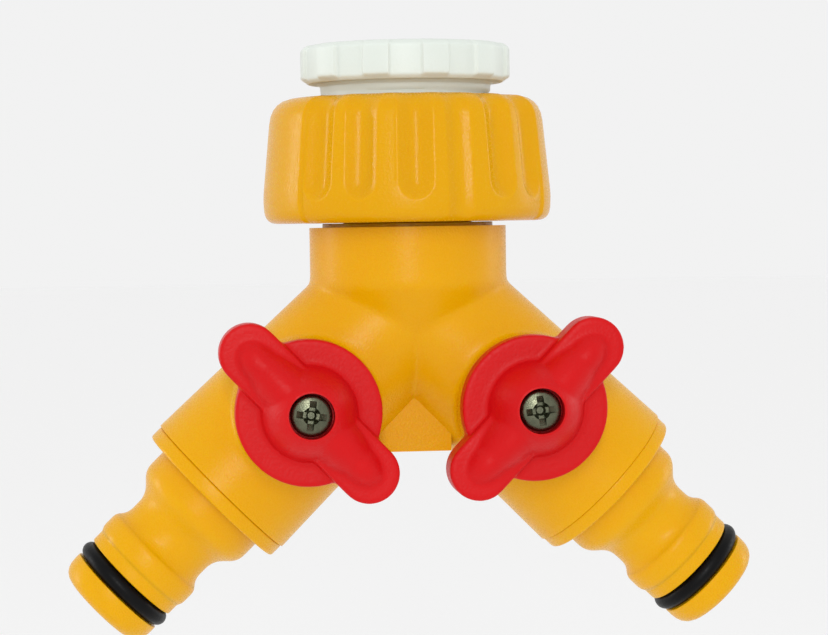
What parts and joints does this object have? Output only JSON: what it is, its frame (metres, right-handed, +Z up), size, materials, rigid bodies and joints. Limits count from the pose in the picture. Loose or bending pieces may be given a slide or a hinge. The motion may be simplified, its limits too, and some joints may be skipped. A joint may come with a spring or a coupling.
{
  "type": "hose splitter",
  "caption": "Y-shaped garden tap splitter: hand nut with a screwed adaptor on top, and a winged-knob ball valve and quick-connect hose nipple on each leg.",
  "frame": {"origin": "centre of the inlet mouth, the adaptor's top face", "axes": "+Z up along the inlet, out of its mouth; +X to the right of someone facing the knobs; knobs face -Y"},
  "size_m": [0.107, 0.0469, 0.0912],
  "materials": {
    "yellow_plastic": "smooth moulded, with a fine spark grain on the nut",
    "white_plastic": "smooth moulded",
    "red_plastic": "satin moulded",
    "black_rubber": "satin",
    "washer_rubber": "matt",
    "seat_plastic": "waxy",
    "ball_plastic": "polished",
    "stem_plastic": "plain moulded",
    "dark_steel": "dark zinc plated"
  },
  "bodies": {
    "adaptor": {"threaded_adaptor": "white_plastic", "tap_washer": "washer_rubber"},
    "washer": {"inlet_washer": "washer_rubber"},
    "nut": {"coupling_nut": "yellow_plastic"},
    "body": {"inlet_spigot": "yellow_plastic", "valve_body": "yellow_plastic", "left_outlet_connector": "yellow_plastic", "left_nipple_o_ring": "black_rubber", "left_inner_seat": "seat_plastic", "left_outer_seat": "seat_plastic", "right_outlet_connector": "yellow_plastic", "right_nipple_o_ring": "black_rubber", "right_inner_seat": "seat_plastic", "right_outer_seat": "seat_plastic"},
    "left_valve": {"left_knob": "red_plastic", "left_knob_screw": "dark_steel", "left_valve_stem": "stem_plastic", "left_stem_o_rings": "black_rubber", "left_valve_ball": "ball_plastic"},
    "right_valve": {"right_knob": "red_plastic", "right_knob_screw": "dark_steel", "right_valve_stem": "stem_plastic", "right_stem_o_rings": "black_rubber", "right_valve_ball": "ball_plastic"}
  },
  "joints": [
    {"name": "nut_travel", "type": "slide", "parent": "adaptor", "child": "washer", "axis": [0, 0, -1], "range_m": [0, 0.0091]},
    {"name": "nut_turn", "type": "hinge", "parent": "washer", "child": "nut", "pos_m": [0, 0, -0.018], "axis": [0, 0, -1], "range_deg": [0, 1800]},
    {"name": "body_swivel", "type": "hinge", "parent": "washer", "child": "body", "pos_m": [0, 0, -0.0281], "axis": [0, 0, 1], "continuous": true},
    {"name": "left_valve_turn", "type": "hinge", "parent": "body", "child": "left_valve", "pos_m": [-0.01698, 0, -0.05559], "axis": [0, -1, 0], "range_deg": [0, 90]},
    {"name": "right_valve_turn", "type": "hinge", "parent": "body", "child": "right_valve", "pos_m": [0.01698, 0, -0.05559], "axis": [0, -1, 0], "range_deg": [0, 90]}
  ],
  "couplings": [
    {"joint": "nut_travel", "follows": "nut_turn", "m_per_rad": 0.00028871}
  ]
}
